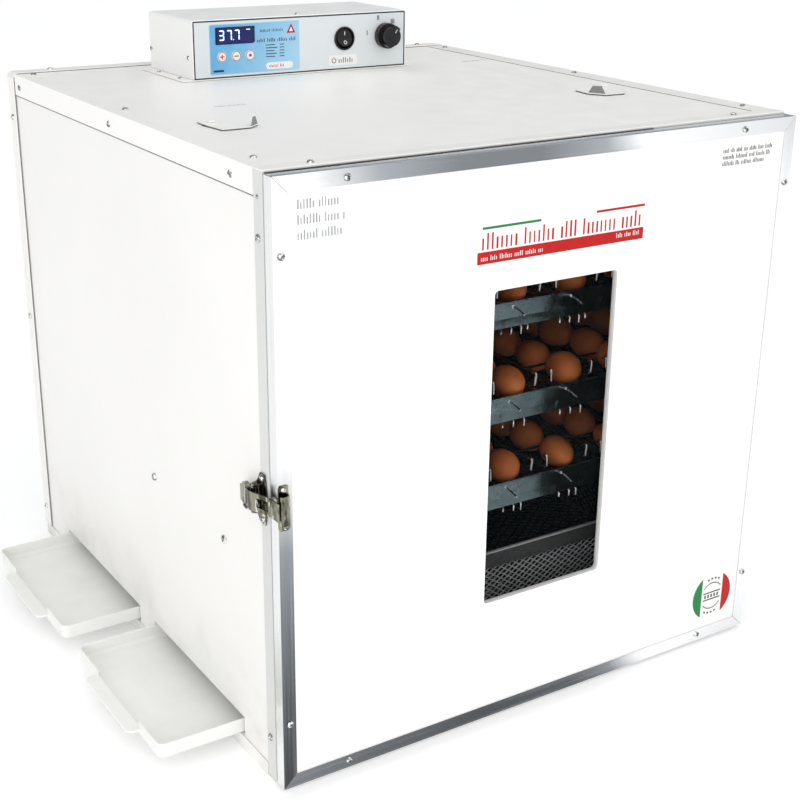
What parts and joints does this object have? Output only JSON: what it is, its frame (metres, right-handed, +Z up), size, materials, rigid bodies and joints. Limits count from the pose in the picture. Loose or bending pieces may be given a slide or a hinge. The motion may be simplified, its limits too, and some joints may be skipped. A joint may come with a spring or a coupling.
{
  "type": "cabinet egg incubator",
  "caption": "Insulated cabinet egg incubator with a side-hinged glazed door, toggle latch, sliding egg dividers, hatching basket, pull-out water trays, roof vents and a roof control box.",
  "frame": {"origin": "centre of the cabinet's underside, where it stands on a bench", "axes": "+Z up, the door faces -Y, the water trays pull out towards -X"},
  "size_m": [0.7105, 0.6665, 0.661],
  "materials": {
    "painted_steel": "off-white powder coat, satin",
    "door_white": "white, semi-gloss",
    "aluminium_edge": "drawn aluminium edging",
    "galvanised": "galvanised sheet and wire",
    "dark_steel": "dark steel",
    "nickel": "nickel plate",
    "white_plastic": "off-white moulded plastic",
    "black_plastic": "black moulded plastic",
    "black_rubber": "black rubber",
    "grey_rubber": "light grey rubber",
    "pane": "clear pane",
    "board": "green circuit board",
    "screen": "dark blue screen",
    "front_grey": "pale blue-grey paint"
  },
  "bodies": {
    "cabinet": {"base_pan": "painted_steel", "floor_panel": "painted_steel", "left_panel": "painted_steel", "right_panel": "painted_steel", "top_panel": "painted_steel", "back_panel": "painted_steel", "rear_cover": "painted_steel", "front_frame": "painted_steel", "rack_left": "galvanised", "rack_right": "galvanised", "egg_tray_1": "galvanised", "egg_tray_2": "galvanised", "egg_tray_3": "galvanised", "hatching_basket": "dark_steel", "turn_motor": "dark_steel", "fan_motor": "dark_steel", "fan_guard": "dark_steel", "heater_element": "dark_steel", "temp_probe": "nickel", "hinge_cabinet_lower": "nickel", "hinge_cabinet_upper": "nickel", "latch_base": "nickel", "control_base": "painted_steel", "control_cover": "painted_steel", "control_front": "front_grey", "display_module": "screen", "switch_bezel": "black_plastic", "circuit_board": "board", "power_supply": "dark_steel", "power_inlet": "black_plastic"},
    "door": {"door_edge_left": "aluminium_edge", "door_edge_right": "aluminium_edge", "door_edge_top": "aluminium_edge", "door_edge_bottom": "aluminium_edge", "door_panel": "door_white", "door_liner": "door_white", "window_seal": "grey_rubber", "window_glass": "pane", "door_seal": "black_rubber", "hinge_door_lower": "nickel", "hinge_door_upper": "nickel", "latch_catch": "nickel"},
    "latch_lever": {"latch_lever": "nickel"},
    "latch_hook": {"latch_hook": "nickel"},
    "egg_carriage": {"divider_grid_1": "galvanised", "divider_grid_2": "galvanised", "divider_grid_3": "galvanised", "turn_link": "galvanised"},
    "turn_pinion": {"turn_pinion": "white_plastic"},
    "fan_blade": {"fan_blade": "black_plastic"},
    "vent_left": {"vent_shutter_left": "painted_steel"},
    "vent_right": {"vent_shutter_right": "painted_steel"},
    "water_tray_front": {"water_tray_front": "white_plastic"},
    "water_tray_rear": {"water_tray_rear": "white_plastic"},
    "switch_rocker": {"switch_rocker": "black_plastic"},
    "selector_knob": {"selector_knob": "black_plastic"},
    "button_plus": {"button_plus": "white_plastic"},
    "button_minus": {"button_minus": "white_plastic"},
    "button_mode": {"button_mode": "white_plastic"}
  },
  "joints": [
    {"name": "door_hinge", "type": "hinge", "parent": "cabinet", "child": "door", "pos_m": [0.3045, -0.3223, 0.298], "axis": [0, 0, 1], "range_deg": [0, 110]},
    {"name": "latch_lever_pivot", "type": "hinge", "parent": "cabinet", "child": "latch_lever", "pos_m": [-0.306, -0.303, 0.2975], "axis": [0, 0, 1], "range_deg": [0, 115]},
    {"name": "latch_hook_pivot", "type": "hinge", "parent": "latch_lever", "child": "latch_hook", "pos_m": [-0.3095, -0.2975, 0.2975], "axis": [0, 0, 1], "range_deg": [-127, 0]},
    {"name": "egg_shift", "type": "slide", "parent": "cabinet", "child": "egg_carriage", "axis": [1, 0, 0], "range_m": [-0.016, 0.016]},
    {"name": "turn_pinion_spin", "type": "hinge", "parent": "cabinet", "child": "turn_pinion", "pos_m": [0.2, 0.187, 0.182], "axis": [0, 1, 0], "range_deg": [-77, 77]},
    {"name": "fan_spin", "type": "hinge", "parent": "cabinet", "child": "fan_blade", "pos_m": [-0.04, 0.25, 0.33], "axis": [0, 1, 0], "continuous": true},
    {"name": "vent_left_turn", "type": "hinge", "parent": "cabinet", "child": "vent_left", "pos_m": [-0.242, -0.105, 0.5952], "axis": [0, 0, 1], "range_deg": [-80, 0]},
    {"name": "vent_right_turn", "type": "hinge", "parent": "cabinet", "child": "vent_right", "pos_m": [0.242, -0.105, 0.5952], "axis": [0, 0, 1], "range_deg": [0, 80]},
    {"name": "water_tray_front_slide", "type": "slide", "parent": "cabinet", "child": "water_tray_front", "axis": [-1, 0, 0], "range_m": [0, 0.25]},
    {"name": "water_tray_rear_slide", "type": "slide", "parent": "cabinet", "child": "water_tray_rear", "axis": [-1, 0, 0], "range_m": [0, 0.25]},
    {"name": "switch_rocker_tilt", "type": "hinge", "parent": "cabinet", "child": "switch_rocker", "pos_m": [0.0537, 0.1525, 0.6316], "axis": [1, 0, 0], "range_deg": [0, 19.2]},
    {"name": "selector_turn", "type": "hinge", "parent": "cabinet", "child": "selector_knob", "pos_m": [0.1105, 0.145, 0.6323], "axis": [0, -1, 0], "range_deg": [0, 112]},
    {"name": "button_plus_press", "type": "slide", "parent": "cabinet", "child": "button_plus", "axis": [0, 1, 0], "range_m": [0, 0.0012], "stiffness_N_per_m": 300},
    {"name": "button_minus_press", "type": "slide", "parent": "cabinet", "child": "button_minus", "axis": [0, 1, 0], "range_m": [0, 0.0012], "stiffness_N_per_m": 300},
    {"name": "button_mode_press", "type": "slide", "parent": "cabinet", "child": "button_mode", "axis": [0, 1, 0], "range_m": [0, 0.0012], "stiffness_N_per_m": 300}
  ],
  "couplings": [
    {"joint": "latch_hook_pivot", "follows": "latch_lever_pivot", "ratio": -1.1},
    {"joint": "turn_pinion_spin", "follows": "egg_shift", "rad_per_m": 83.333}
  ]
}
